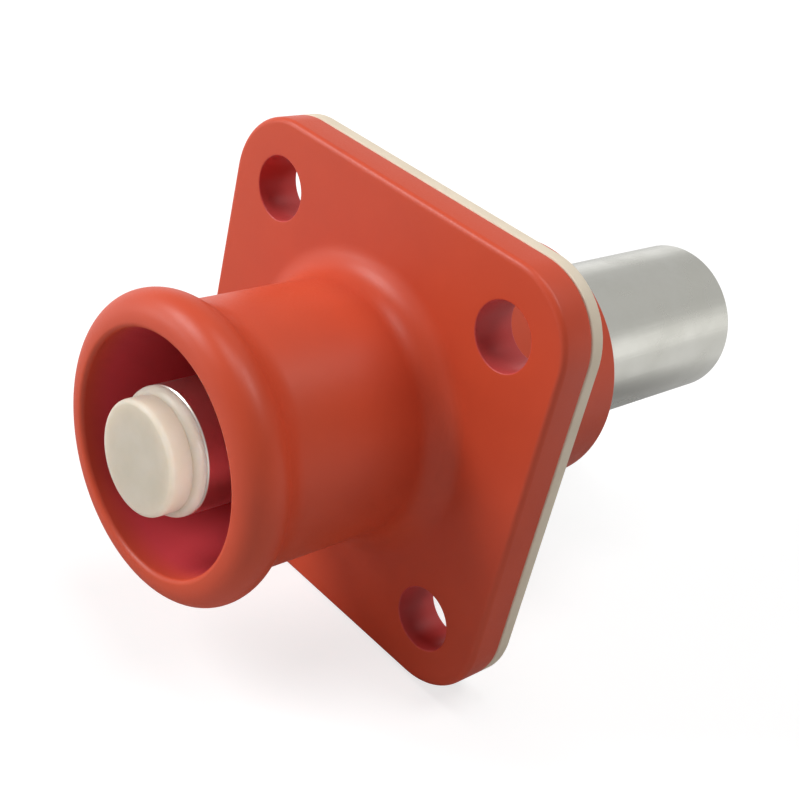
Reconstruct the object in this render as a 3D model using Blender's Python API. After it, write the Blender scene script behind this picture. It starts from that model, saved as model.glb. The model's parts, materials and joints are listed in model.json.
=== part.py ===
# High current panel connector, single pole.
#
# A moulded housing is screwed to the front of a panel by its square flange, on a flat seal.
# Its bell-mouth snout guards a silver-plated contact, whose pin has a touch-proof plastic tip
# and whose crimp barrel takes the cable behind the panel.
#
# Every piece is drawn about its own Z axis, which points out of the panel towards the plug.
# One empty lays that axis along -Y, so the flange stands upright, square to X and Z.
# Heights along the axis are counted from the panel's face, where the flat seal meets it.

import math

import bmesh
import bpy

MM = 0.001  # one millimetre in metres

# Clearances
seat_gap = 0.30 * MM  # between faces that rest on each other
bore_gap = 0.30 * MM  # all round a piece that sits in a bore

# Flat seal
gasket_thickness = 1.2 * MM

# Flange
flange_thickness = 3.7 * MM
hole_pitch = 31.75 * MM  # between the centres of neighbouring screw holes
hole_margin = 7.125 * MM  # from a screw hole's centre to the edge of the flange
hole_diameter = 6.5 * MM
hole_lead_in = 0.15 * MM
flange_corner_radius = 7.5 * MM
flange_front_round = 0.6 * MM
flange_back_round = 0.3 * MM

# Spacers behind the flange, which keep the screws from crushing the flat seal
spacer_wall = 1.2 * MM

# Snout
snout_length = 23.5 * MM  # from the flange's front face to the lip
snout_diameter = 25.5 * MM
snout_wall = 1.4 * MM
snout_depth = 24.9 * MM  # from the lip to the floor of the socket
lip_overhang = 1.8 * MM  # how far the lip stands out from the tube
lip_nose = 2.5 * MM  # from the lip's widest ring to its front
lip_back_radius = 3.2 * MM
mouth_round = 0.5 * MM  # on the inner edge of the lip
waist_radius = 4.5 * MM  # between the lip and the tube
root_radius = 3.05 * MM  # between the tube and the flange
floor_round = 0.8 * MM

# Contact
pin_diameter = 12.0 * MM
pin_chamfer = 0.15 * MM
collar_step = 1.2 * MM  # how far the collar stands out from the barrel
collar_length = 14.5 * MM
collar_chamfer = 0.4 * MM
barrel_diameter = 17.6 * MM
barrel_wall = 2.05 * MM
barrel_length = 31.0 * MM  # behind the collar
barrel_chamfer = 0.5 * MM
wire_bore_depth = 27.0 * MM
drill_point_angle = math.radians(118)

# Touch-proof cap, whose rim is as wide as the pin
cap_proud = 1.5 * MM  # how far it stands out of the snout's mouth
cap_nose_step = 0.65 * MM  # how far the nose stands in from the rim
cap_nose_length = 2.2 * MM
cap_nose_round = 0.5 * MM
cap_rim_length = 1.1 * MM
cap_rim_round = 0.85 * MM  # towards the nose
cap_back_round = 0.15 * MM
cap_stud_diameter = 4.0 * MM
cap_stud_length = 6.0 * MM
cap_stud_chamfer = 0.5 * MM

# Web between the socket and the boss
web_thickness = 6.0 * MM

# Boss behind the panel
boss_wall = 3.1 * MM
boss_rear_lip = 1.6 * MM  # behind the retaining ring's groove
boss_chamfer = 0.7 * MM

# O-ring on the collar
seal_cord = 1.8 * MM
seal_setback = 4.0 * MM  # from the collar's front face to the groove

# Retaining ring
ring_thickness = 1.2 * MM
ring_groove_depth = 1.0 * MM
ring_back_width = 1.7 * MM  # opposite the gap
ring_end_width = 1.15 * MM  # beside the lugs
ring_lug_angle = math.radians(13)
ring_gap_angle = math.radians(40)
ring_lug_hole = 0.9 * MM

# Fineness of the round pieces
housing_steps = 64
contact_steps = 56
small_steps = 36
ring_steps = 48
lug_hole_steps = 12

# Sizes that follow
hole_offset = hole_pitch / 2
hole_radius = hole_diameter / 2
spacer_radius = hole_radius + spacer_wall
flange_size = hole_pitch + 2 * hole_margin

flange_back = gasket_thickness + seat_gap
flange_front = flange_back + flange_thickness
snout_front = flange_front + snout_length
socket_floor = snout_front - snout_depth
web_back = socket_floor - web_thickness

collar_front = web_back - seat_gap
collar_back = collar_front - collar_length
ring_front = collar_back - seat_gap
ring_back = ring_front - ring_thickness
groove_back = ring_back - seat_gap
boss_end = groove_back - boss_rear_lip
barrel_end = collar_back - barrel_length

cap_front = snout_front + cap_proud
cap_step = cap_front - cap_nose_length
cap_back = cap_step - cap_rim_length
pin_front = cap_back - seat_gap

snout_radius = snout_diameter / 2
socket_radius = snout_radius - snout_wall
lip_radius = snout_radius + lip_overhang
pin_radius = pin_diameter / 2
barrel_radius = barrel_diameter / 2
wire_radius = barrel_radius - barrel_wall
collar_radius = barrel_radius + collar_step
boss_bore_radius = collar_radius + bore_gap
boss_radius = boss_bore_radius + boss_wall
groove_radius = boss_bore_radius + ring_groove_depth
stud_radius = cap_stud_diameter / 2
seal_groove_width = seal_cord + 2 * seat_gap
seal_groove_radius = boss_bore_radius - 2 * bore_gap - seal_cord
seal_front = collar_front - seal_setback


def clear_the_scene():
    for obj in list(bpy.data.objects):
        bpy.data.objects.remove(obj, do_unlink=True)


def linear(channel):
    """Scene-linear value of an sRGB channel from 0 to 255."""
    value = channel / 255
    return value / 12.92 if value <= 0.04045 else ((value + 0.055) / 1.055) ** 2.4


def make_material(name, red, green, blue, roughness, metallic):
    material = bpy.data.materials.new(name)
    material.use_nodes = True
    shader = material.node_tree.nodes["Principled BSDF"]
    shader.inputs["Base Color"].default_value = (linear(red), linear(green), linear(blue), 1)
    shader.inputs["Roughness"].default_value = roughness
    shader.inputs["Metallic"].default_value = metallic
    return material


def make_object(name, mesh, parent, material=None):
    obj = bpy.data.objects.new(name, mesh)
    bpy.context.scene.collection.objects.link(obj)
    obj.parent = parent
    if material:
        mesh.materials.append(material)
    return obj


def arc(centre_radius, centre_height, radius, start, end, count):
    """Points of an arc in the (radius, height) plane, angles in degrees from the +radius side."""
    points = []
    for step in range(count + 1):
        angle = math.radians(start + (end - start) * step / count)
        across = centre_radius + radius * math.cos(angle)
        up = centre_height + radius * math.sin(angle)
        points.append((across, up))
    return points


def oval_arc(centre_radius, centre_height, across, up, start, end, count):
    """As arc, with one radius across and another along the height."""
    points = []
    for step in range(count + 1):
        angle = math.radians(start + (end - start) * step / count)
        points.append((centre_radius + across * math.cos(angle), centre_height + up * math.sin(angle)))
    return points


def plug_outline(radius, bottom, top):
    """Outline of a plain round bar, for turned."""
    return [(0, top), (radius, top), (radius, bottom), (0, bottom)]


def turned(name, outline, steps, parent, material=None):
    """Turn an outline of (radius, height) points about Z.

    The outline runs down the outer side. It starts and ends on the axis, or it is closed.
    """
    mesh = bpy.data.meshes.new(name)
    count = len(outline)
    on_axis = outline[0][0] == 0 and outline[-1][0] == 0
    edges = [(i, i + 1) for i in range(count - 1)]
    if not on_axis:
        edges.append((count - 1, 0))
    mesh.from_pydata([(radius, 0, height) for radius, height in outline], edges, [])
    obj = make_object(name, mesh, parent, material)
    turn = obj.modifiers.new("Turn", "SCREW")
    turn.axis = "Z"
    turn.angle = math.tau
    turn.steps = steps
    turn.render_steps = steps
    turn.use_merge_vertices = True
    turn.merge_threshold = 0.01 * MM
    return obj


def slab(name, corners, bottom, top, parent, material=None):
    """Raise a flat outline of (x, y) points from one height to another."""
    shape = bmesh.new()
    ring = [shape.verts.new((x, y, bottom)) for x, y in corners]
    face = shape.faces.new(ring)
    raised = bmesh.ops.extrude_face_region(shape, geom=[face])
    lifted = [item for item in raised["geom"] if isinstance(item, bmesh.types.BMVert)]
    bmesh.ops.translate(shape, verts=lifted, vec=(0, 0, top - bottom))
    bmesh.ops.recalc_face_normals(shape, faces=shape.faces)
    mesh = bpy.data.meshes.new(name)
    shape.to_mesh(mesh)
    shape.free()
    return make_object(name, mesh, parent, material)


def round_square(size, corner_radius, count=8):
    """Outline of a square with round corners, anticlockwise."""
    inset = size / 2 - corner_radius
    points = []
    for quarter, (side_x, side_y) in enumerate(((1, 1), (-1, 1), (-1, -1), (1, -1))):
        start = 90 * quarter
        points += arc(side_x * inset, side_y * inset, corner_radius, start, start + 90, count)
    return points


def rounded_plate(name, size, corner_radius, rim, parent):
    """Square plate with round corners. Its rim is (inset, height) points, from the back to the front."""
    shape = bmesh.new()
    rows = []
    for inset, height in rim:
        outline = round_square(size - 2 * inset, corner_radius - inset)
        rows.append([shape.verts.new((x, y, height)) for x, y in outline])
    shape.faces.new(rows[0])
    shape.faces.new(rows[-1])
    for lower, upper in zip(rows, rows[1:]):
        for here in range(len(lower)):
            shape.faces.new((lower[here - 1], lower[here], upper[here], upper[here - 1]))
    bmesh.ops.recalc_face_normals(shape, faces=shape.faces)
    mesh = bpy.data.meshes.new(name)
    shape.to_mesh(mesh)
    shape.free()
    return make_object(name, mesh, parent)


def screw_hole_places():
    return [(x * hole_offset, y * hole_offset) for x in (-1, 1) for y in (-1, 1)]


def make_helper(name, outline, steps, parent, x=0.0, y=0.0):
    """A round shape that is only there to be joined to a piece or cut from it."""
    helper = turned(name, outline, steps, parent)
    helper.location = (x, y, 0)
    helper.hide_render = True
    helper.display_type = "WIRE"
    return helper


def combine(obj, other, operation):
    boolean = obj.modifiers.new(operation.title(), "BOOLEAN")
    boolean.operation = operation
    boolean.solver = "EXACT"
    boolean.object = other


def bake(obj, helpers=(), sharp_angle=35):
    """Turn an object's modifiers into its mesh, remove its helpers and shade it smooth."""
    bpy.context.view_layer.update()
    graph = bpy.context.evaluated_depsgraph_get()
    mesh = bpy.data.meshes.new_from_object(obj.evaluated_get(graph))
    mesh.name = obj.name
    obj.modifiers.clear()
    obj.data = mesh
    for helper in helpers:
        bpy.data.objects.remove(helper, do_unlink=True)
    mesh.shade_smooth()
    mesh.set_sharp_from_angle(angle=math.radians(sharp_angle))


def lip_outline():
    """The lip from the socket's wall over its front and down to the tube."""
    mouth_centre = socket_radius + mouth_round
    widest = snout_front - lip_nose
    mouth = arc(mouth_centre, snout_front - mouth_round, mouth_round, 180, 90, 4)
    nose = oval_arc(mouth_centre, widest, lip_radius - mouth_centre, lip_nose, 90, 0, 8)
    # The back of the lip is an arc that runs into the waist's hollow arc, which ends on the tube.
    back_centre = lip_radius - lip_back_radius
    waist_centre = snout_radius + waist_radius
    reach = lip_back_radius + waist_radius
    drop = math.sqrt(max(reach**2 - (waist_centre - back_centre) ** 2, 0))
    turn = math.degrees(math.atan2(drop, waist_centre - back_centre))
    back = arc(back_centre, widest, lip_back_radius, 0, -turn, 5)
    waist = arc(waist_centre, widest - drop, waist_radius, 180 - turn, 180, 5)
    return mouth + nose[1:] + back[1:] + waist[1:]


def housing_outline():
    """Snout, web and boss as one closed outline, from the socket's mouth outwards and down."""
    root = arc(snout_radius + root_radius, flange_front + root_radius, root_radius, 180, 270, 6)
    skirt_radius = max(snout_radius + root_radius, boss_radius)
    boss = [
        (skirt_radius, (flange_front + flange_back) / 2),
        (boss_radius, (flange_front + flange_back) / 2),
        (boss_radius, boss_end + boss_chamfer),
        (boss_radius - boss_chamfer, boss_end),
        (boss_bore_radius + boss_chamfer / 2, boss_end),
        (boss_bore_radius, boss_end + boss_chamfer / 2),
        (boss_bore_radius, groove_back),
        (groove_radius, groove_back),
        (groove_radius, collar_back),
        (boss_bore_radius, collar_back),
        (boss_bore_radius, web_back),
    ]
    web_bore = pin_radius + bore_gap
    web = [
        (web_bore, web_back),
        (web_bore, socket_floor),
    ]
    corner = arc(socket_radius - floor_round, socket_floor + floor_round, floor_round, 270, 360, 4)
    return lip_outline() + root + boss + web + corner


def flange_rim():
    """Edge of the flange as (inset, height) points, with a small round behind and a large one in front."""
    back_round = flange_back_round
    front_round = min(flange_front_round, flange_thickness - back_round)
    back = arc(-back_round, flange_back + back_round, back_round, -90, 0, 3)
    front = arc(-front_round, flange_front - front_round, front_round, 0, 90, 6)
    return [(-across, height) for across, height in back + front]


def make_housing(parent, material):
    housing = turned("housing", housing_outline(), housing_steps, parent, material)
    flange = rounded_plate("flange", flange_size, flange_corner_radius, flange_rim(), parent)
    # The plate is opened half way through the snout's wall, so its bore lies inside the turned body.
    middle = (socket_radius + snout_radius) / 2
    beyond = flange_thickness
    core = plug_outline(middle, flange_back - beyond, flange_front + beyond)
    opening = make_helper("opening", core, housing_steps, parent)
    combine(flange, opening, "DIFFERENCE")
    combine(housing, flange, "UNION")
    helpers = [flange, opening]
    spacer = plug_outline(spacer_radius, seat_gap, (flange_front + flange_back) / 2)
    for x, y in screw_hole_places():
        helpers.append(make_helper("spacer", spacer, small_steps, parent, x, y))
        combine(housing, helpers[-1], "UNION")
    drill = [
        (0, flange_front + beyond),
        (hole_radius + hole_lead_in + beyond, flange_front + beyond),
        (hole_radius, flange_front - hole_lead_in),
        (hole_radius, -beyond),
        (0, -beyond),
    ]
    for x, y in screw_hole_places():
        helpers.append(make_helper("screw_hole", drill, small_steps, parent, x, y))
        combine(housing, helpers[-1], "DIFFERENCE")
    bake(housing, helpers)
    return housing


def make_gasket(parent, material):
    outline = round_square(flange_size, flange_corner_radius)
    gasket = slab("flange_gasket", outline, 0, gasket_thickness, parent, material)
    beyond = gasket_thickness
    boss_hole = plug_outline(boss_radius + bore_gap, -beyond, gasket_thickness + beyond)
    spacer_hole = plug_outline(spacer_radius + bore_gap, -beyond, gasket_thickness + beyond)
    punches = [make_helper("boss_punch", boss_hole, housing_steps, parent)]
    for x, y in screw_hole_places():
        punches.append(make_helper("spacer_punch", spacer_hole, small_steps, parent, x, y))
    for punch in punches:
        combine(gasket, punch, "DIFFERENCE")
    bake(gasket, punches)
    return gasket


def contact_outline():
    """Pin, collar and barrel, from the bottom of the cap's hole over the outside to the wire bore."""
    stud_hole = stud_radius + bore_gap
    stud_floor = pin_front - cap_stud_length
    seal_rear = seal_front - seal_groove_width
    wire_floor = barrel_end + wire_bore_depth
    drill_point = wire_radius / math.tan(drill_point_angle / 2)
    return [
        (0, stud_floor),
        (stud_hole, stud_floor),
        (stud_hole, pin_front),
        (pin_radius - pin_chamfer, pin_front),
        (pin_radius, pin_front - pin_chamfer),
        (pin_radius, collar_front),
        (collar_radius - collar_chamfer, collar_front),
        (collar_radius, collar_front - collar_chamfer),
        (collar_radius, seal_front),
        (seal_groove_radius, seal_front),
        (seal_groove_radius, seal_rear),
        (collar_radius, seal_rear),
        (collar_radius, collar_back + collar_chamfer),
        (collar_radius - collar_chamfer, collar_back),
        (barrel_radius, collar_back),
        (barrel_radius, barrel_end + barrel_chamfer),
        (barrel_radius - barrel_chamfer, barrel_end),
        (wire_radius + barrel_chamfer, barrel_end),
        (wire_radius, barrel_end + barrel_chamfer),
        (wire_radius, wire_floor),
        (0, wire_floor + drill_point),
    ]


def make_contact(parent, material):
    contact = turned("contact", contact_outline(), contact_steps, parent, material)
    bake(contact)
    return contact


def cap_outline():
    """Two round steps with soft edges, and the stud that holds them in the pin."""
    rim_radius = pin_radius
    nose_radius = rim_radius - cap_nose_step
    nose = arc(nose_radius - cap_nose_round, cap_front - cap_nose_round, cap_nose_round, 90, 0, 4)
    # The rim's round starts where it leaves the nose, or past a flat shelf if the step is a large one.
    rim_round = min(cap_rim_round, cap_rim_length - cap_back_round)
    round_centre = rim_radius - rim_round
    shelf = [(nose_radius, cap_step)] if round_centre > nose_radius else []
    start = math.acos(max(nose_radius - round_centre, 0) / rim_round)
    round_height = cap_step - rim_round * math.sin(start)
    rim_front = arc(round_centre, round_height, rim_round, math.degrees(start), 0, 5)
    rim_back = arc(rim_radius - cap_back_round, cap_back + cap_back_round, cap_back_round, 0, -90, 3)
    stud_end = cap_back - cap_stud_length
    stud = [
        (stud_radius, cap_back),
        (stud_radius, stud_end + cap_stud_chamfer),
        (stud_radius - cap_stud_chamfer, stud_end),
        (0, stud_end),
    ]
    return [(0, cap_front)] + nose + shelf + rim_front + rim_back + stud


def make_cap(parent, material):
    cap = turned("touch_proof_cap", cap_outline(), small_steps, parent, material)
    bake(cap)
    return cap


def make_seal(parent, material):
    cord_radius = seal_cord / 2
    centre_radius = boss_bore_radius - bore_gap - cord_radius
    centre_height = seal_front - seal_groove_width / 2
    round_section = arc(centre_radius, centre_height, cord_radius, 90, -270, 12)[:-1]
    seal = turned("contact_seal", round_section, contact_steps, parent, material)
    bake(seal)
    return seal


def ring_outline(outer_radius, lug_radius):
    """Snap ring seen along its axis: a tapering band, open at -Y, with an inward lug at each end."""
    half_gap = ring_gap_angle / 2
    sweep = math.tau - ring_gap_angle
    outer = []
    inner = []
    for step in range(ring_steps + 1):
        along = half_gap + sweep * step / ring_steps
        angle = along - math.pi / 2
        to_end = min(along, math.tau - along) - half_gap
        width = ring_end_width + (ring_back_width - ring_end_width) * (1 - math.cos(along)) / 2
        inner_radius = lug_radius if to_end <= ring_lug_angle else max(outer_radius - width, lug_radius)
        outer.append((outer_radius * math.cos(angle), outer_radius * math.sin(angle)))
        inner.append((inner_radius * math.cos(angle), inner_radius * math.sin(angle)))
    return outer + inner[::-1]


def make_retaining_ring(parent, material):
    outer_radius = groove_radius - bore_gap
    lug_radius = barrel_radius + bore_gap
    outline = ring_outline(outer_radius, lug_radius)
    ring = slab("retaining_ring", outline, ring_back, ring_front, parent, material)
    drills = []
    drill = plug_outline(ring_lug_hole / 2, ring_back - ring_thickness, ring_front + ring_thickness)
    middle = (outer_radius + lug_radius) / 2
    for side in (-1, 1):
        angle = side * (ring_gap_angle + ring_lug_angle) / 2 - math.pi / 2
        x = middle * math.cos(angle)
        y = middle * math.sin(angle)
        drills.append(make_helper("lug_hole", drill, lug_hole_steps, parent, x, y))
        combine(ring, drills[-1], "DIFFERENCE")
    bake(ring, drills)
    return ring


def main():
    clear_the_scene()
    axis = bpy.data.objects.new("connector_axis", None)
    bpy.context.scene.collection.objects.link(axis)
    axis.rotation_euler = (math.radians(90), 0, 0)

    orange_plastic = make_material("orange_plastic", 208, 76, 48, 0.42, 0.0)
    cream_rubber = make_material("cream_rubber", 232, 220, 202, 0.7, 0.0)
    silver_plate = make_material("silver_plate", 200, 198, 190, 0.28, 1.0)
    ivory_plastic = make_material("ivory_plastic", 214, 200, 184, 0.4, 0.0)
    black_rubber = make_material("black_rubber", 34, 34, 36, 0.6, 0.0)
    spring_steel = make_material("spring_steel", 120, 118, 116, 0.35, 1.0)

    make_housing(axis, orange_plastic)
    make_gasket(axis, cream_rubber)
    make_contact(axis, silver_plate)
    make_cap(axis, ivory_plastic)
    make_seal(axis, black_rubber)
    make_retaining_ring(axis, spring_steel)


main()
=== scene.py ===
# Panel-mount power connector: a moulded housing on a flat seal, round a turned contact with a pale tip.
import json
import math

import bmesh
import bpy
import numpy as np
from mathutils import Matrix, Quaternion, Vector
from mathutils.geometry import delaunay_2d_cdt

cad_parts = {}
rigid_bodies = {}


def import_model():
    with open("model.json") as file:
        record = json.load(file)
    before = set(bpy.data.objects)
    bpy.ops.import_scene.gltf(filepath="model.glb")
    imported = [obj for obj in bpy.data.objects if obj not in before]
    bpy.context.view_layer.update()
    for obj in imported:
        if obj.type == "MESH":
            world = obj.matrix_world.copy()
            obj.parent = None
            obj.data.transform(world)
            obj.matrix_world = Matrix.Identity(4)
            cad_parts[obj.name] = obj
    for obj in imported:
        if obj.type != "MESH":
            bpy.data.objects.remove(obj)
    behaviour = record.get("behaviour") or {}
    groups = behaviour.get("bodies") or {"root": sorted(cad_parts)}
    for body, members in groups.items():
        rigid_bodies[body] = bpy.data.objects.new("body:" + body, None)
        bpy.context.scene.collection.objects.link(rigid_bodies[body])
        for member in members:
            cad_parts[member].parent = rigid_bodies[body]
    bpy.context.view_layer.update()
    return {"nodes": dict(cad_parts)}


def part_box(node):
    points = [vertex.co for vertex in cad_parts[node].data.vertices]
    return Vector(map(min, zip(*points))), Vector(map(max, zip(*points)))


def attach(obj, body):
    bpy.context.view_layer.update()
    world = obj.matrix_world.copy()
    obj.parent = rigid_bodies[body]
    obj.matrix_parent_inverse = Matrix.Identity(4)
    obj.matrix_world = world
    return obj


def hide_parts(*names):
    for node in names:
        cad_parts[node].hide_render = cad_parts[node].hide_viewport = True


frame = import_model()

mm = 0.001  # shapes are worked out in millimetres
guard = 0.25  # flat strip beside a rounded edge, so that the round does not shade the flat face
seatGap = 0.3  # what the solids keep between touching faces
noiseRange = (0.3, 0.7)  # what a noise texture's values mostly stay within
print("frame loaded:", ", ".join(sorted(frame["nodes"])))


# The axis of the connector is Y. A height h counts outwards from the panel's face, so y = -h.
def heightsOf(node):
    low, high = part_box(node)
    return -low.y / mm, -high.y / mm


def arcPoints(centre, radii, start, end, steps):
    # A point of the arc is centre + (radii[0] * cos a, radii[1] * sin a), a going evenly from start to end.
    angle = np.radians(np.linspace(start, end, steps + 1))
    return np.column_stack((centre[0] + radii[0] * np.cos(angle), centre[1] + radii[1] * np.sin(angle)))


def filleted(corners, steps=6):
    # Each corner (r, h, radius) becomes an arc that touches both its sides. The arc starts
    # radius * tan(half the turn) before the corner and sweeps the turn about its centre.
    corners = np.array(corners, float)
    places = corners[:, :2]
    rows = [places[:1]]
    for before, here, after, radius in zip(places, places[1:], places[2:], corners[1:, 2]):
        into = (here - before) / np.linalg.norm(here - before)
        out = (after - here) / np.linalg.norm(after - here)
        turn = math.atan2(into[0] * out[1] - into[1] * out[0], into @ out)
        start = here - into * radius * math.tan(abs(turn) / 2)
        arm = np.array((into[1], -into[0])) * math.copysign(radius, turn)
        angle = np.linspace(0, turn, steps + 1)[:, None]
        sideways = np.array((-arm[1], arm[0]))
        rows.append(start - arm + arm * np.cos(angle) + sideways * np.sin(angle))
    rows.append(places[-1:])
    return joined(*rows)


def joined(*rows):
    # One profile out of several, without the points that neighbours share.
    points = np.concatenate(rows)
    apart = np.linalg.norm(np.diff(points, axis=0), axis=1) > 1e-7
    return points[np.concatenate(([True], apart))]


def roundSquare(half, cornerRadius, steps=24):
    # Corner arcs: the normal is (cos a, sin a), and the point is the corner's centre + cornerRadius * normal.
    quarter = np.radians(np.linspace(0, 90, steps + 1))
    angle = quarter + np.radians((0, 90, 180, 270))[:, None]
    normal = np.stack((np.cos(angle), np.sin(angle)), axis=2)
    centre = (half - cornerRadius) * np.array(((1, 1), (-1, 1), (-1, -1), (1, -1)))[:, None]
    return (centre + cornerRadius * normal).reshape(-1, 2), normal.reshape(-1, 2)


def circle(radius, steps, x=0.0, z=0.0):
    turn = np.linspace(0, math.tau, steps, endpoint=False)
    normal = np.column_stack((np.cos(turn), np.sin(turn)))
    return np.array((x, z)) + radius * normal, normal


def carried(loop, profile):
    # The surface point of loop point p, with normal n, and profile point (g, h) is p + g * n at height h:
    # the loop grows by g and stands at h. A circle of radius 0 turns the profile about the axis.
    places, normals = loop
    flat = places + profile[:, 0, None, None] * normals
    height = np.broadcast_to(-profile[:, 1, None], flat.shape[:2])
    return np.stack((flat[..., 0], height, flat[..., 1]), axis=2)


def inside(points, loop):
    # A point lies inside when a line from it towards +x crosses the loop an odd number of times.
    x, z = points[:, :1], points[:, 1:]
    following = np.roll(loop, -1, axis=0)
    rise = following[:, 1] - loop[:, 1]
    crossing = loop[:, 0] + (z - loop[:, 1]) * (following[:, 0] - loop[:, 0]) / np.where(rise == 0, 1, rise)
    crosses = ((loop[:, 1] > z) != (following[:, 1] > z)) & (x < crossing)
    return crosses.sum(axis=1) % 2 == 1


def flatFace(edges):
    # Delaunay triangles between edge rows of one height, kept where an odd number of rows goes round them.
    height = edges[0][0, 1]
    loops = [edge[:, (0, 2)] for edge in edges]
    points = np.concatenate(loops)
    counts = [len(loop) for loop in loops]
    starts = np.repeat(np.cumsum([0] + counts[:-1]), counts)
    sizes = np.repeat(counts, counts)
    index = np.arange(len(points))
    sides = np.column_stack((index, starts + (index - starts + 1) % sizes))
    made = delaunay_2d_cdt([Vector(p) for p in points], sides.tolist(), [], 1, 1e-7, False)
    places = np.array([tuple(p) for p in made[0]])
    faces = np.array([face for face in made[2] if len(face) == 3])
    middles = places[faces].mean(axis=1)
    keep = sum(inside(middles, loop).astype(int) for loop in loops) % 2 == 1
    return np.column_stack((places[:, 0], np.full(len(places), height), places[:, 1])), faces[keep]


def gridFaces(rows, columns, closed):
    # Quad (i, j) joins rows i and i + 1 at columns j and j + 1, and the columns close on themselves.
    i = np.arange(rows if closed else rows - 1)[:, None]
    j = np.arange(columns)
    nextRow, nextColumn = (i + 1) % rows * columns, (j + 1) % columns
    corners = (i * columns + j, i * columns + nextColumn, nextRow + nextColumn, nextRow + j)
    return np.stack(corners, axis=2).reshape(-1, 4)


def makePiece(name, node, material, surfaces, flats=(), closed=False, sharpAngle=38):
    # Surfaces are grids of points and flats are triangulated faces. Their shared edges are welded.
    places, faces, count = [], [], 0
    for surface in surfaces:
        rows, columns = surface.shape[:2]
        places.append(surface.reshape(-1, 3))
        faces += (gridFaces(rows, columns, closed) + count).tolist()
        count += rows * columns
    for points, triangles in flats:
        places.append(points)
        faces += (triangles + count).tolist()
        count += len(points)
    mesh = bpy.data.meshes.new(name)
    mesh.from_pydata((np.concatenate(places) * mm).tolist(), [], faces)
    shape = bmesh.new()
    shape.from_mesh(mesh)
    bmesh.ops.remove_doubles(shape, verts=shape.verts, dist=1e-6)
    bmesh.ops.dissolve_degenerate(shape, edges=shape.edges, dist=1e-7)
    bmesh.ops.recalc_face_normals(shape, faces=shape.faces)
    openEdges = sum(1 for edge in shape.edges if not edge.is_manifold)
    shape.to_mesh(mesh)
    shape.free()
    mesh.shade_smooth()
    mesh.set_sharp_from_angle(angle=math.radians(sharpAngle))
    mesh.materials.append(material)
    piece = bpy.data.objects.new(name, mesh)
    bpy.context.scene.collection.objects.link(piece)
    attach(piece, "root")
    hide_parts(node)
    print(f"{name}: {len(mesh.polygons)} faces, {openEdges} open edges")
    return piece


# Materials
def linear(colour):
    # Scene-linear values of an sRGB colour from 0 to 255: ((c + 0.055) / 1.055) to the power 2.4.
    part = np.array(colour) / 255
    value = np.where(part <= 0.04045, part / 12.92, ((part + 0.055) / 1.055) ** 2.4)
    return (*value.tolist(), 1.0)


class Nodes:
    # A shorthand for a material's or the world's node tree.
    def __init__(self, owner):
        owner.use_nodes = True
        self.tree = owner.node_tree
        self.tree.nodes.clear()

    def add(self, kind, sockets=None, **settings):
        node = self.tree.nodes.new(kind)
        for key, value in settings.items():
            setattr(node, key, value)
        for key, value in (sockets or {}).items():
            if isinstance(value, bpy.types.NodeSocket):
                self.tree.links.new(value, node.inputs[key])
            else:
                node.inputs[key].default_value = value
        return node

    def math(self, operation, first, second=0.0):
        return self.add("ShaderNodeMath", {0: first, 1: second}, operation=operation).outputs[0]

    def vector(self, operation, first, second=(0, 0, 0)):
        return self.add("ShaderNodeVectorMath", {0: first, 1: second}, operation=operation).outputs

    def spread(self, value, low, high, newLow, newHigh):
        sockets = {"Value": value, "From Min": low, "From Max": high, "To Min": newLow, "To Max": newHigh}
        return self.add("ShaderNodeMapRange", sockets).outputs["Result"]

    def noise(self, place, size, detail=2.0, rough=0.5):
        # Clouds whose features are about size millimetres across.
        sockets = {"Vector": place, "Scale": 1 / (size * mm), "Detail": detail, "Roughness": rough}
        return self.add("ShaderNodeTexNoise", sockets).outputs["Fac"]

    def mix(self, share, first, second):
        node = self.add("ShaderNodeMix", {"Factor": share}, data_type="RGBA")
        for socket, value in (("A", first), ("B", second)):
            target = [s for s in node.inputs if s.name == socket and s.type == "RGBA"][0]
            if isinstance(value, bpy.types.NodeSocket):
                self.tree.links.new(value, target)
            else:
                target.default_value = value
        return [s for s in node.outputs if s.type == "RGBA"][0]

    def bump(self, height, depth, normal=None):
        sockets = {"Height": height, "Distance": depth * mm, "Strength": 1.0}
        if normal is not None:
            sockets["Normal"] = normal
        return self.add("ShaderNodeBump", sockets).outputs["Normal"]

    def surface(self, sockets):
        shader = self.add("ShaderNodeBsdfPrincipled", sockets)
        self.add("ShaderNodeOutputMaterial", {"Surface": shader.outputs[0]})


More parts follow.
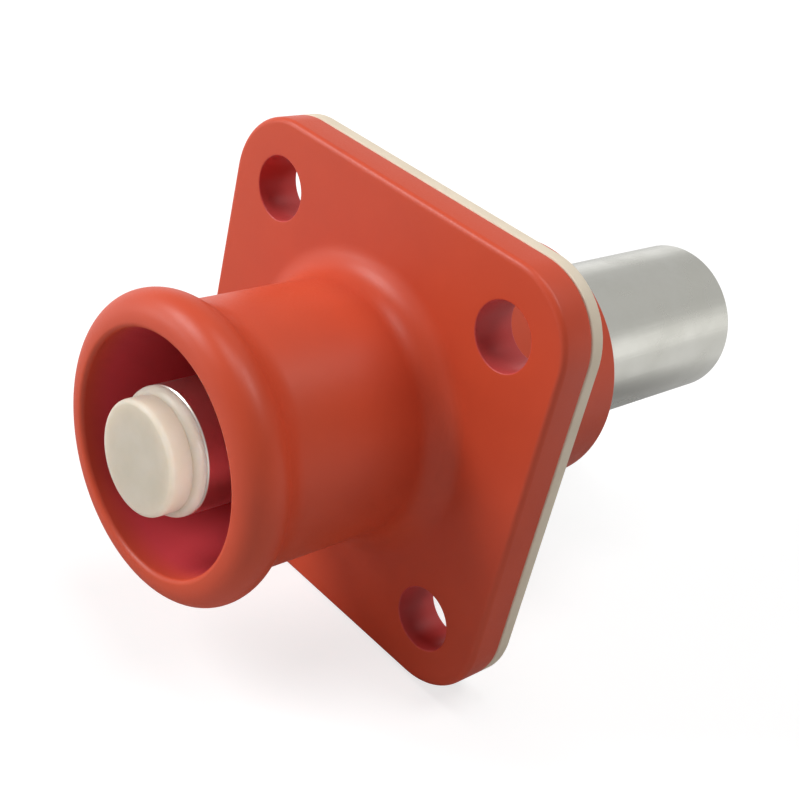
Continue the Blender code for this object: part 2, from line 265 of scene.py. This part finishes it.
def paintedRecessShade(nodes, place, colour, look):
    # Painted shade: the plastic's colour turns crimson in the socket, within its wall, behind the mouth and
    # ahead of socketEnd, and in the screw holes, whose axes become one on |x| and |z|. It stands in for the
    # shade and the red bounced light in these hollows.
    split = nodes.add("ShaderNodeSeparateXYZ", {"Vector": place}).outputs
    x, z = nodes.math("ABSOLUTE", split["X"]), nodes.math("ABSOLUTE", split["Z"])
    folded = nodes.add("ShaderNodeCombineXYZ", {"X": x, "Z": z}).outputs[0]
    fromAxis = nodes.vector("LENGTH", folded)["Value"]
    fromHole = nodes.vector("DISTANCE", folded, (holeOffset * mm, 0, holeOffset * mm))["Value"]
    socketWall = (housing["tubeRadius"] - housing["wall"]) * mm
    holeEdge = (housing["holeRadius"] + look["holeBlend"]) * mm
    holeFull = (housing["holeRadius"] + look["holeSkin"]) * mm
    mouth, end = -lipFront * mm, -look["socketEnd"] * mm
    within = nodes.spread(fromAxis, socketWall + look["wallBlend"] * mm, socketWall, 0.0, 1.0)
    behind = nodes.spread(split["Y"], mouth, mouth + look["mouthBlend"] * mm, 0.0, 1.0)
    ahead = nodes.spread(split["Y"], end, end + look["endBlend"] * mm, 1.0, 0.0)
    socketShade = nodes.math("MULTIPLY", nodes.math("MULTIPLY", within, behind), ahead)
    holeShade = nodes.spread(fromHole, holeEdge, holeFull, 0.0, 1.0)
    colour = nodes.mix(socketShade, colour, linear(look["socketShadeColour"]))
    return nodes.mix(holeShade, colour, linear(look["holeShadeColour"]))


def mouldedPlastic(name, look):
    # Satin mould texture: soft clouds in the colour, and a fine grain in the bump and the gloss.
    material = bpy.data.materials.new(name)
    nodes = Nodes(material)
    place = nodes.add("ShaderNodeTexCoord").outputs["Object"]
    clouds = nodes.noise(place, look["cloudSize"], 3.0)
    grain = nodes.noise(place, look["grainSize"], 4.0, 0.6)
    share = nodes.spread(clouds, *noiseRange, 0.0, 1.0)
    colour = nodes.mix(share, linear(look["colour"]), linear(look["cloudColour"]))
    # the housing's plastic gets a painted shade in its socket and its screw holes
    if "socketShadeColour" in look:
        colour = paintedRecessShade(nodes, place, colour, look)
    low, high = look["roughness"] - look["glossChange"], look["roughness"] + look["glossChange"]
    waves = nodes.bump(clouds, look["waveDepth"])
    sockets = {
        "Base Color": colour,
        "Roughness": nodes.spread(grain, *noiseRange, low, high),
        "Normal": nodes.bump(grain, look["grainDepth"], waves),
        "Specular IOR Level": look["specular"],
    }
    if "scatter" in look:
        sockets["Subsurface Weight"] = 1.0
        sockets["Subsurface Radius"] = look["scatterColour"]
        sockets["Subsurface Scale"] = look["scatter"] * mm
    nodes.surface(sockets)
    return material


def sheetRubber(name, look):
    # Matt rubber: a grain in the bump and faint mottling.
    material = bpy.data.materials.new(name)
    nodes = Nodes(material)
    place = nodes.add("ShaderNodeTexCoord").outputs["Object"]
    mottle = nodes.noise(place, look["mottleSize"], 4.0)
    grain = nodes.noise(place, look["grainSize"], 3.0, 0.6)
    share = nodes.spread(mottle, *look["mottleRange"], 0.0, 1.0)
    colour = nodes.mix(share, linear(look["colour"]), linear(look["mottleColour"]))
    nodes.surface({
        "Base Color": colour,
        "Roughness": look["roughness"],
        "Normal": nodes.bump(grain, look["grainDepth"]),
    })
    return material


def turnedMetal(name, look):
    # Turned metal, bare in front of polishY. Behind it are fine rings across the axis and faint drawing marks
    # along it, which are clouds that are drawn out along Y.
    material = bpy.data.materials.new(name)
    nodes = Nodes(material)
    place = nodes.add("ShaderNodeTexCoord").outputs["Object"]
    along = nodes.add("ShaderNodeSeparateXYZ", {"Vector": place}).outputs["Y"]
    behind = nodes.spread(along, look["polishY"] * mm, (look["polishY"] + look["polishBlend"]) * mm, 0.0, 1.0)
    sockets = {"W": along, "Scale": 1 / (look["ringPitch"] * mm), "Detail": 2.0}
    rings = nodes.add("ShaderNodeTexNoise", sockets, noise_dimensions="1D").outputs["Fac"]
    drawnOut = nodes.vector("MULTIPLY", place, (1, look["markSqueeze"], 1))["Vector"]
    marks = nodes.noise(drawnOut, look["markWidth"])
    clouds = nodes.noise(place, look["cloudSize"], 4.0)
    base = nodes.spread(behind, 0.0, 1.0, look["frontRoughness"], look["rearRoughness"])
    cloudy = nodes.spread(clouds, *noiseRange, *look["cloudRoughness"])
    share = nodes.spread(clouds, *noiseRange, 0.0, 1.0)
    colour = nodes.mix(share, linear(look["colour"]), linear(look["cloudColour"]))
    drawn = nodes.bump(nodes.math("MULTIPLY", marks, behind), look["markDepth"])
    nodes.surface({
        "Base Color": colour,
        "Metallic": 1.0,
        "Roughness": nodes.math("ADD", base, cloudy),
        "Normal": nodes.bump(nodes.math("MULTIPLY", rings, behind), look["ringDepth"], drawn),
    })
    return material


print("tools ready")

# Housing
housing = {
    "flangeThickness": 3.7,
    "cornerRadius": 7.5,
    "frontRound": 0.6,
    "backRound": 0.3,
    "holePitch": 31.75,
    "holeRadius": 3.25,
    "holeRound": 0.15,
    "spacerWall": 1.2,
    "tubeRadius": 12.75,
    "wall": 1.4,
    "socketDepth": 24.9,
    "lipOverhang": 1.8,
    "lipNose": 2.5,
    "lipBackRadius": 3.2,
    "mouthRound": 0.5,
    "waistRadius": 4.5,
    "rootRadius": 3.05,
    "floorRound": 0.8,
    "webThickness": 6.0,
    "webBoreRadius": 6.3,
    "bossRadius": 13.4,
    "bossBoreRadius": 10.3,
    "grooveRadius": 11.3,
    "grooveWidth": 1.8,
    "bossLip": 1.6,
    "bossChamfer": 0.7,
    "smallRound": 0.15,
    "turnSteps": 240,
    "holeSteps": 64,
    "plastic": {
        "colour": (208, 79, 49),
        "cloudColour": (203, 76, 48),
        # painted shade: crimson in the socket and darker red in the screw holes
        "socketShadeColour": (219, 75, 83),
        "wallBlend": 0.4,  # how far outside the socket's wall that painted shade fades
        "mouthBlend": 3.0,  # depth from which the socket has all of it
        "socketEnd": 3.0,  # height at which it begins to fade again
        "endBlend": 1.0,
        "holeShadeColour": (202, 74, 72),
        "holeBlend": 0.15,  # how far outside a hole's wall that painted shade begins
        "holeSkin": 0.02,  # how far outside it is full
        "cloudSize": 6.0,
        "waveDepth": 0.01,
        "grainSize": 0.25,
        "grainDepth": 0.004,
        "roughness": 0.4,
        "glossChange": 0.05,
        "specular": 0.3,
    },
}
lipFront, bossEnd = heightsOf("housing")
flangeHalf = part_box("housing")[1].x / mm
gasketTop = heightsOf("flange_gasket")[0]
flangeBack = gasketTop + seatGap
flangeFront = flangeBack + housing["flangeThickness"]
holeOffset = housing["holePitch"] / 2
holePlaces = [(x, z) for x in (-holeOffset, holeOffset) for z in (-holeOffset, holeOffset)]
spacerRadius = housing["holeRadius"] + housing["spacerWall"]


def lipProfile():
    # Waist, back, nose and mouth of the lip: four arcs, each touching the next.
    h = housing
    socketRadius = h["tubeRadius"] - h["wall"]
    lipRadius = h["tubeRadius"] + h["lipOverhang"]
    mouthCentre = socketRadius + h["mouthRound"]
    widest = lipFront - h["lipNose"]
    backCentre = lipRadius - h["lipBackRadius"]
    waistCentre = h["tubeRadius"] + h["waistRadius"]
    drop = math.sqrt((h["lipBackRadius"] + h["waistRadius"]) ** 2 - (waistCentre - backCentre) ** 2)
    turn = math.degrees(math.atan2(drop, waistCentre - backCentre))
    waist = arcPoints((waistCentre, widest - drop), (h["waistRadius"],) * 2, 180, 180 - turn, 14)
    back = arcPoints((backCentre, widest), (h["lipBackRadius"],) * 2, -turn, 0, 14)
    nose = arcPoints((mouthCentre, widest), (lipRadius - mouthCentre, h["lipNose"]), 0, 90, 20)
    mouth = arcPoints((mouthCentre, lipFront - h["mouthRound"]), (h["mouthRound"],) * 2, 90, 180, 16)
    return joined(waist, back, nose, mouth)


def makeHousing():
    h = housing
    small, chamfer = h["smallRound"], h["bossChamfer"]
    socketRadius = h["tubeRadius"] - h["wall"]
    socketFloor = lipFront - h["socketDepth"]
    webBack = socketFloor - h["webThickness"]
    grooveBack = bossEnd + h["bossLip"]
    grooveFront = grooveBack + h["grooveWidth"]
    rootEnd = h["tubeRadius"] + h["rootRadius"] + guard
    root = filleted([
        (rootEnd, flangeFront, 0),
        (h["tubeRadius"], flangeFront, h["rootRadius"]),
        (h["tubeRadius"], flangeFront + h["rootRadius"] + guard, 0),
    ], 16)
    inner = filleted([
        (socketRadius, lipFront - h["mouthRound"], 0),
        (socketRadius, socketFloor, h["floorRound"]),
        (h["webBoreRadius"], socketFloor, small),
        (h["webBoreRadius"], webBack, small),
        (h["bossBoreRadius"], webBack, small),
        (h["bossBoreRadius"], grooveFront, small),
        (h["grooveRadius"], grooveFront, small),
        (h["grooveRadius"], grooveBack, small),
        (h["bossBoreRadius"], grooveBack, small),
        (h["bossBoreRadius"], bossEnd + chamfer / 2, small),
        (h["bossBoreRadius"] + chamfer / 2, bossEnd, small),
        (h["bossRadius"] - chamfer, bossEnd, 2 * small),
        (h["bossRadius"], bossEnd + chamfer, 2 * small),
        (h["bossRadius"], flangeBack, 2 * small),
        (h["bossRadius"] + 2 * small + guard, flangeBack, 0),
    ])
    body = carried(circle(0, h["turnSteps"]), joined(root, lipProfile(), inner))
    rim = carried(roundSquare(flangeHalf, h["cornerRadius"]), filleted([
        (-h["frontRound"] - guard, flangeFront, 0),
        (0, flangeFront, h["frontRound"]),
        (0, flangeBack, h["backRound"]),
        (-h["backRound"] - guard, flangeBack, 0),
    ], 12))
    holeProfile = filleted([
        (h["holeRound"] + guard, flangeFront, 0),
        (0, flangeFront, h["holeRound"]),
        (0, seatGap, small),
        (h["spacerWall"], seatGap, small),
        (h["spacerWall"], flangeBack, small),
        (h["spacerWall"] + small + guard, flangeBack, 0),
    ])
    holes = [carried(circle(h["holeRadius"], h["holeSteps"], x, z), holeProfile) for x, z in holePlaces]
    surfaces = [body, rim] + holes
    front = flatFace([rim[0], body[0]] + [hole[0] for hole in holes])
    back = flatFace([rim[-1], body[-1]] + [hole[-1] for hole in holes])
    plastic = mouldedPlastic("orangePlastic", h["plastic"])
    return makePiece("mouldedHousing", "housing", plastic, surfaces, [front, back])


makeHousing()

# Flat seal behind the flange
gasket = {
    "edgeRound": 0.2,
    "spacerClearance": 0.3,
    "bossClearance": 0.3,
    "sink": 0.02,  # kept between the seal and the flange it touches
    "holeSteps": 64,
    "bossSteps": 160,
    "rubber": {
        "colour": (232, 218, 196),
        "mottleColour": (226, 211, 188),
        "mottleSize": 3.0,
        "mottleRange": (0.35, 0.65),
        "grainSize": 0.3,
        "grainDepth": 0.006,
        "roughness": 0.62,
    },
}


def makeGasket():
    g = gasket
    top, bottom = flangeBack - g["sink"], heightsOf("flange_gasket")[1]
    inset = g["edgeRound"] + guard
    outward = filleted([
        (-inset, top, 0),
        (0, top, g["edgeRound"]),
        (0, bottom, g["edgeRound"]),
        (-inset, bottom, 0),
    ])
    inward = outward * (-1, 1)
    rim = carried(roundSquare(flangeHalf, housing["cornerRadius"]), outward)
    holeRadius = spacerRadius + g["spacerClearance"]
    holes = [carried(circle(holeRadius, g["holeSteps"], x, z), inward) for x, z in holePlaces]
    holes.append(carried(circle(housing["bossRadius"] + g["bossClearance"], g["bossSteps"]), inward))
    front = flatFace([rim[0]] + [hole[0] for hole in holes])
    back = flatFace([rim[-1]] + [hole[-1] for hole in holes])
    rubber = sheetRubber("creamRubber", g["rubber"])
    return makePiece("flatSeal", "flange_gasket", rubber, [rim] + holes, [front, back])


makeGasket()

# Contact: pin, collar and crimp barrel
contact = {
    "pinRadius": 6.0,
    "pinChamfer": 0.15,
    "collarRadius": 10.0,
    "collarLength": 14.5,
    "collarChamfer": 0.4,
    "sealGrooveRadius": 7.9,
    "sealGrooveWidth": 2.4,
    "sealSetback": 4.0,
    "barrelRadius": 8.8,
    "barrelLength": 31.0,
    "barrelChamfer": 0.5,
    "wireRadius": 6.75,
    "wireDepth": 27.0,
    "drillAngle": 118,
    "tipHoleRadius": 2.3,
    "tipHoleDepth": 6.0,
    "edgeRound": 0.12,
    "turnSteps": 200,
    "silver": {
        "colour": (224, 223, 215),
        "cloudColour": (214, 213, 204),
        "cloudSize": 5.0,
        "polishY": 0.0,
        "polishBlend": 1.0,
        "frontRoughness": 0.3,
        "rearRoughness": 0.24,
        "cloudRoughness": (-0.03, 0.05),  # what the clouds add to it
        "ringPitch": 0.16,
        "ringDepth": 0.002,
        "markWidth": 0.7,
        "markSqueeze": 0.04,  # their width over their length
        "markDepth": 0.02,
    },
}


def makeContact():
    c = contact
    pinFront, barrelEnd = heightsOf("contact")
    pinTop = pinFront + seatGap - gasket["sink"]  # the pin reaches the back of its tip
    collarBack = barrelEnd + c["barrelLength"]
    collarFront = collarBack + c["collarLength"]
    sealFront = collarFront - c["sealSetback"]
    sealRear = sealFront - c["sealGrooveWidth"]
    tipFloor = pinFront - c["tipHoleDepth"]
    wireFloor = barrelEnd + c["wireDepth"]
    drillPoint = wireFloor + c["wireRadius"] / math.tan(math.radians(c["drillAngle"] / 2))
    edge = c["edgeRound"]
    profile = filleted([
        (0, tipFloor, 0),
        (c["tipHoleRadius"], tipFloor, edge),
        (c["tipHoleRadius"], pinTop, edge),
        (c["pinRadius"] - c["pinChamfer"], pinTop, edge),
        (c["pinRadius"], pinTop - c["pinChamfer"], edge),
        (c["pinRadius"], collarFront, edge),
        (c["collarRadius"] - c["collarChamfer"], collarFront, edge),
        (c["collarRadius"], collarFront - c["collarChamfer"], edge),
        (c["collarRadius"], sealFront, edge),
        (c["sealGrooveRadius"], sealFront, edge),
        (c["sealGrooveRadius"], sealRear, edge),
        (c["collarRadius"], sealRear, edge),
        (c["collarRadius"], collarBack + c["collarChamfer"], edge),
        (c["collarRadius"] - c["collarChamfer"], collarBack, edge),
        (c["barrelRadius"], collarBack, edge),
        (c["barrelRadius"], barrelEnd + c["barrelChamfer"], 2 * edge),
        (c["barrelRadius"] - c["barrelChamfer"], barrelEnd, 2 * edge),
        (c["wireRadius"] + c["barrelChamfer"], barrelEnd, 2 * edge),
        (c["wireRadius"], barrelEnd + c["barrelChamfer"], 2 * edge),
        (c["wireRadius"], wireFloor, edge),
        (0, drillPoint, 0),
    ])
    silver = turnedMetal("silverPlate", c["silver"])
    surface = carried(circle(0, c["turnSteps"]), profile)
    return makePiece("turnedContact", "contact", silver, [surface])


makeContact()

# Touch-proof tip of the pin
tip = {
    "noseRadius": 5.35,
    "noseLength": 2.2,
    "noseRound": 0.5,
    "rimStep": 0.65,
    "rimLength": 1.1,
    "rimRound": 0.85,
    "backRound": 0.15,
    "studRadius": 2.0,
    "studChamfer": 0.5,
    "studRound": 0.1,
    "turnSteps": 128,
    "plastic": {
        "colour": (211, 202, 187),
        "cloudColour": (205, 196, 179),
        "cloudSize": 2.5,
        "waveDepth": 0.004,
        "grainSize": 0.2,
        "grainDepth": 0.002,
        "roughness": 0.36,
        "glossChange": 0.05,
        "specular": 0.3,
        "scatter": 3.0,  # how far light spreads inside it, in millimetres
        "scatterColour": (1.0, 0.85, 0.7),
    },
}


def makeTip():
    t = tip
    tipFront, studEnd = heightsOf("touch_proof_cap")
    step = tipFront - t["noseLength"]
    back = step - t["rimLength"]
    rimRadius = t["noseRadius"] + t["rimStep"]
    roundCentre = rimRadius - t["rimRound"]
    start = math.degrees(math.acos((t["noseRadius"] - roundCentre) / t["rimRound"]))
    roundHeight = step - t["rimRound"] * math.sin(math.radians(start))
    crownCentre = (t["noseRadius"] - t["noseRound"], tipFront - t["noseRound"])
    crown = arcPoints(crownCentre, (t["noseRound"],) * 2, 90, 0, 12)
    rim = arcPoints((roundCentre, roundHeight), (t["rimRound"],) * 2, start, 0, 14)
    tail = filleted([
        (rimRadius, roundHeight, 0),
        (rimRadius, back, t["backRound"]),
        (t["studRadius"], back, t["studRound"]),
        (t["studRadius"], studEnd + t["studChamfer"], t["studRound"]),
        (t["studRadius"] - t["studChamfer"], studEnd, t["studRound"]),
        (0, studEnd, 0),
    ])
    profile = joined(np.array([(0, tipFront)]), crown, rim, tail)
    plastic = mouldedPlastic("ivoryPlastic", t["plastic"])
    surface = carried(circle(0, t["turnSteps"]), profile)
    return makePiece("paleTip", "touch_proof_cap", plastic, [surface])


makeTip()

# Retaining ring in the boss
ring = {
    "outerRadius": 11.0,
    "lugRadius": 9.1,
    "backWidth": 1.7,
    "endWidth": 1.15,
    "lugAngle": 13,
    "gapAngle": 40,
    "lugBlend": 3,  # degrees over which a lug runs into the band
    "lugHoleRadius": 0.45,
    "lugHoleSteps": 32,
    "edgeRound": 0.12,
    "edgeStrip": 0.02,  # flat strip beside it
    "turnSteps": 181,
    "steel": {
        "colour": (132, 130, 127),
        "cloudColour": (112, 110, 108),
        "cloudSize": 2.0,
        "polishY": 0.0,
        "polishBlend": 1.0,
        "frontRoughness": 0.3,
        "rearRoughness": 0.34,
        "cloudRoughness": (-0.03, 0.05),
        "ringPitch": 0.3,
        "ringDepth": 0.002,
        "markWidth": 0.4,
        "markSqueeze": 1.0,
        "markDepth": 0.001,
    },
}


def loopThrough(points):
    # The normal at a point is the way from its forerunner to its follower, turned a quarter clockwise.
    way = np.roll(points, -1, axis=0) - np.roll(points, 1, axis=0)
    way /= np.linalg.norm(way, axis=1, keepdims=True)
    return points, np.column_stack((way[:, 1], -way[:, 0]))


def makeRing():
    # The inner radius is outerRadius - width, where width is
    # endWidth + (backWidth - endWidth) * (1 - cos a) / 2. Near the ends it eases down to the lug's radius.
    # The gap opens downwards.
    r = ring
    low, high = math.radians(r["gapAngle"] / 2), math.radians(360 - r["gapAngle"] / 2)
    along = np.linspace(low, high, r["turnSteps"])
    width = r["endWidth"] + (r["backWidth"] - r["endWidth"]) * (1 - np.cos(along)) / 2
    toEnd = np.minimum(along - low, high - along)
    ease = np.clip((toEnd - math.radians(r["lugAngle"])) / math.radians(r["lugBlend"]), 0, 1)
    innerRadius = r["lugRadius"] + (r["outerRadius"] - width - r["lugRadius"]) * ease * ease * (3 - 2 * ease)
    across = np.column_stack((np.sin(along), -np.cos(along)))
    outline = np.concatenate((r["outerRadius"] * across, (innerRadius[:, None] * across)[::-1]))
    front, back = heightsOf("retaining_ring")
    inset = r["edgeRound"] + r["edgeStrip"]
    outward = filleted([
        (-inset, front, 0),
        (0, front, r["edgeRound"]),
        (0, back, r["edgeRound"]),
        (-inset, back, 0),
    ])
    band = carried(loopThrough(outline), outward)
    middle = (r["outerRadius"] + r["lugRadius"]) / 2
    lug = math.radians((r["gapAngle"] + r["lugAngle"]) / 2)
    holes = []
    for side in (-1, 1):
        x, z = side * middle * math.sin(lug), -middle * math.cos(lug)
        loop = circle(r["lugHoleRadius"], r["lugHoleSteps"], x, z)
        holes.append(carried(loop, outward * (-1, 1)))
    front = flatFace([band[0]] + [hole[0] for hole in holes])
    back = flatFace([band[-1]] + [hole[-1] for hole in holes])
    steel = turnedMetal("springSteel", r["steel"])
    surfaces = [band] + holes
    return makePiece("snapRing", "retaining_ring", steel, surfaces, [front, back])


makeRing()

# O-ring on the collar, as its solid
oRing = {
    "colour": (34, 34, 36),
    "mottleColour": (28, 28, 30),
    "mottleSize": 2.0,
    "mottleRange": (0.35, 0.65),
    "grainSize": 0.2,
    "grainDepth": 0.004,
    "roughness": 0.5,
}
sealNode = frame["nodes"]["contact_seal"]
sealNode.data.materials.clear()
sealNode.data.materials.append(sheetRubber("blackRubber", oRing))

print("pieces done")

# Studio
studio = {
    "ambient": 0.2,  # the surroundings as light on matt surfaces
    "horizonTop": 0.14,  # sine of the rise up to which the surroundings are white
    "skyBottom": 0.32,  # sine of the rise from which they are as dull as overhead
    "zenith": 0.55,  # share of the white that a mirror finds there
    "floorDrop": 0.2,  # millimetres between the flange and the floor
    "floorSize": 4.0,  # metres
    "floorMatt": 0.4,  # the matt share of the floor's white, which is lit and takes the shadow
    "floorWhite": 0.74,  # what the floor glows by itself near the connector
    "shadedMirrorGlow": 0.4,  # what a mirror sees the floor glow near the connector: lower than floorWhite, a painted shadow
    "floorNear": 0.2,  # metres up to which the two hold
    "floorFar": 0.8,  # metres beyond which both are 1, as the lamps don't reach there
    "mirrorShadowInner": 0.065,  # metres up to which a mirror sees no glow at all: a painted shadow round the connector
    "mirrorShadowOuter": 0.095,  # metres from which it sees all of it, where that painted shadow ends
    "floorBounce": 0.75,  # the floor as light on matt surfaces
    "lampReach": 0.6,  # metres from the connector
    "lamps": {
        "key": {"turn": -45, "rise": 35, "size": 0.26, "power": 2.2},
        "back": {"turn": 135, "rise": 62, "size": 0.26, "power": 1.1},
        "top": {"turn": 0, "rise": 88, "size": 0.26, "power": 1.0},
        "low": {"turn": -45, "rise": 8, "size": 0.16, "power": 0.5},
        # the tip's right side is as bright as its face, so this one lights the tip alone
        "tipFill": {"turn": 87, "rise": 26, "size": 0.26, "power": 2.6, "lights": "paleTip"},
    },
}


def seenRays(nodes):
    # 1 for rays that show the surroundings as they are: camera, glossy and transmission rays.
    path = nodes.add("ShaderNodeLightPath")
    shown = nodes.math("MAXIMUM", path.outputs["Is Camera Ray"], path.outputs["Is Glossy Ray"])
    return nodes.math("MAXIMUM", shown, path.outputs["Is Transmission Ray"])


def makeWorld():
    # White for the camera. A mirror sees white up to horizonTop, which eases to zenith at skyBottom.
    world = bpy.data.worlds.new("studioWorld")
    bpy.context.scene.world = world
    nodes = Nodes(world)
    direction = nodes.add("ShaderNodeTexCoord").outputs["Generated"]
    height = nodes.add("ShaderNodeSeparateXYZ", {"Vector": direction}).outputs["Z"]
    mirrored = nodes.spread(height, studio["horizonTop"], studio["skyBottom"], 1.0, studio["zenith"])
    direct = nodes.add("ShaderNodeLightPath").outputs["Is Camera Ray"]
    level = nodes.math("MAXIMUM", mirrored, direct)
    strength = nodes.spread(seenRays(nodes), 0.0, 1.0, studio["ambient"], 1.0)
    sky = nodes.math("MULTIPLY", level, strength)
    background = nodes.add("ShaderNodeBackground", {"Color": (1, 1, 1, 1), "Strength": sky})
    nodes.add("ShaderNodeOutputWorld", {"Surface": background.outputs[0]})


def makeFloor():
    # Camera rays see floorMatt lit by the lamps, plus a glow that rises with the distance from the connector.
    # The glow in a mirror starts from 0 and stays lower out to floorFar: a painted shadow on the floor round
    # the connector, seen only in reflections, so that the connector's underside stays dark.
    half = studio["floorSize"] / 2
    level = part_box("housing")[0].z - studio["floorDrop"] * mm
    mesh = bpy.data.meshes.new("studioFloor")
    corners = [(x * half, y * half, level) for x, y in ((-1, -1), (1, -1), (1, 1), (-1, 1))]
    mesh.from_pydata(corners, [], [(0, 1, 2, 3)])
    floor = bpy.data.objects.new("studioFloor", mesh)
    bpy.context.scene.collection.objects.link(floor)
    material = bpy.data.materials.new("studioFloor")
    nodes = Nodes(material)
    matt = nodes.add("ShaderNodeBsdfDiffuse", {"Color": (studio["floorMatt"],) * 3 + (1,)})
    place = nodes.add("ShaderNodeNewGeometry").outputs["Position"]
    away = nodes.vector("LENGTH", place)["Value"]
    reach = (studio["floorNear"], studio["floorFar"])
    plain = nodes.spread(away, *reach, studio["floorWhite"], 1.0)
    mirrorGlowShaded = nodes.spread(away, *reach, studio["shadedMirrorGlow"], 1.0)
    # painted shadow: a mirror sees no floor glow near the connector
    clear = nodes.spread(away, studio["mirrorShadowInner"], studio["mirrorShadowOuter"], 0.0, 1.0)
    mirrored = nodes.math("MULTIPLY", mirrorGlowShaded, clear)
    glossy = nodes.add("ShaderNodeLightPath").outputs["Is Glossy Ray"]
    white = nodes.add("ShaderNodeMix", {"Factor": glossy, "A": plain, "B": mirrored}).outputs["Result"]
    glow = nodes.add("ShaderNodeEmission", {"Strength": white})
    shown = nodes.add("ShaderNodeAddShader", {0: matt.outputs[0], 1: glow.outputs[0]})
    bounce = nodes.add("ShaderNodeBsdfDiffuse", {"Color": (studio["floorBounce"],) * 3 + (1,)})
    both = nodes.add("ShaderNodeMixShader", {0: seenRays(nodes), 1: bounce.outputs[0], 2: shown.outputs[0]})
    nodes.add("ShaderNodeOutputMaterial", {"Surface": both.outputs[0]})
    mesh.materials.append(material)


def makeLamps():
    # Turn 0 is in front of the flange and 90 at its right. A lamp stands at
    # lampReach * (sin turn * cos rise, -cos turn * cos rise, sin rise) and looks at the connector.
    # A lamp with a piece in lights is linked to that piece, and nothing else shades it.
    for name, lamp in studio["lamps"].items():
        turn, rise = math.radians(lamp["turn"]), math.radians(lamp["rise"])
        towards = Vector((math.sin(turn) * math.cos(rise), -math.cos(turn) * math.cos(rise), math.sin(rise)))
        light = bpy.data.lights.new(name, "AREA")
        light.shape = "DISK"
        light.size = lamp["size"]
        light.energy = lamp["power"]
        holder = bpy.data.objects.new(name, light)
        holder.location = studio["lampReach"] * towards
        holder.rotation_mode = "QUATERNION"
        holder.rotation_quaternion = (-towards).to_track_quat("-Z", "Y")
        holder.visible_camera = False
        bpy.context.scene.collection.objects.link(holder)
        if "lights" in lamp:
            lit = bpy.data.collections.new(name)
            lit.objects.link(bpy.data.objects[lamp["lights"]])
            holder.light_linking.receiver_collection = lit
            holder.light_linking.blocker_collection = lit


makeWorld()
makeFloor()
makeLamps()
bpy.context.scene.view_settings.view_transform = "Standard"
print("studio ready")

# Camera, at the angle of the photograph
view = {
    "place": (81.841, -93.22, 68.612),
    "target": (1.222, 0.668, -0.488),
    "roll": 14.073,  # degrees anticlockwise, seen from behind the camera
    "lens": 62.948,
    "sensor": 36.0,
    "nearest": 0.005,  # metres from the camera to the nearest and the farthest thing that it shows
    "farthest": 20,
}


def makeCamera():
    camera = bpy.data.cameras.new("photoView")
    camera.lens = view["lens"]
    camera.sensor_width = view["sensor"]
    camera.clip_start = view["nearest"]
    camera.clip_end = view["farthest"]
    holder = bpy.data.objects.new("photoView", camera)
    holder.location = Vector(view["place"]) * mm
    look = Vector(view["target"]) - Vector(view["place"])
    holder.rotation_mode = "QUATERNION"
    roll = Quaternion((0, 0, 1), math.radians(view["roll"]))
    holder.rotation_quaternion = look.to_track_quat("-Z", "Y") @ roll
    bpy.context.scene.collection.objects.link(holder)
    bpy.context.scene.camera = holder


makeCamera()
print("camera ready")
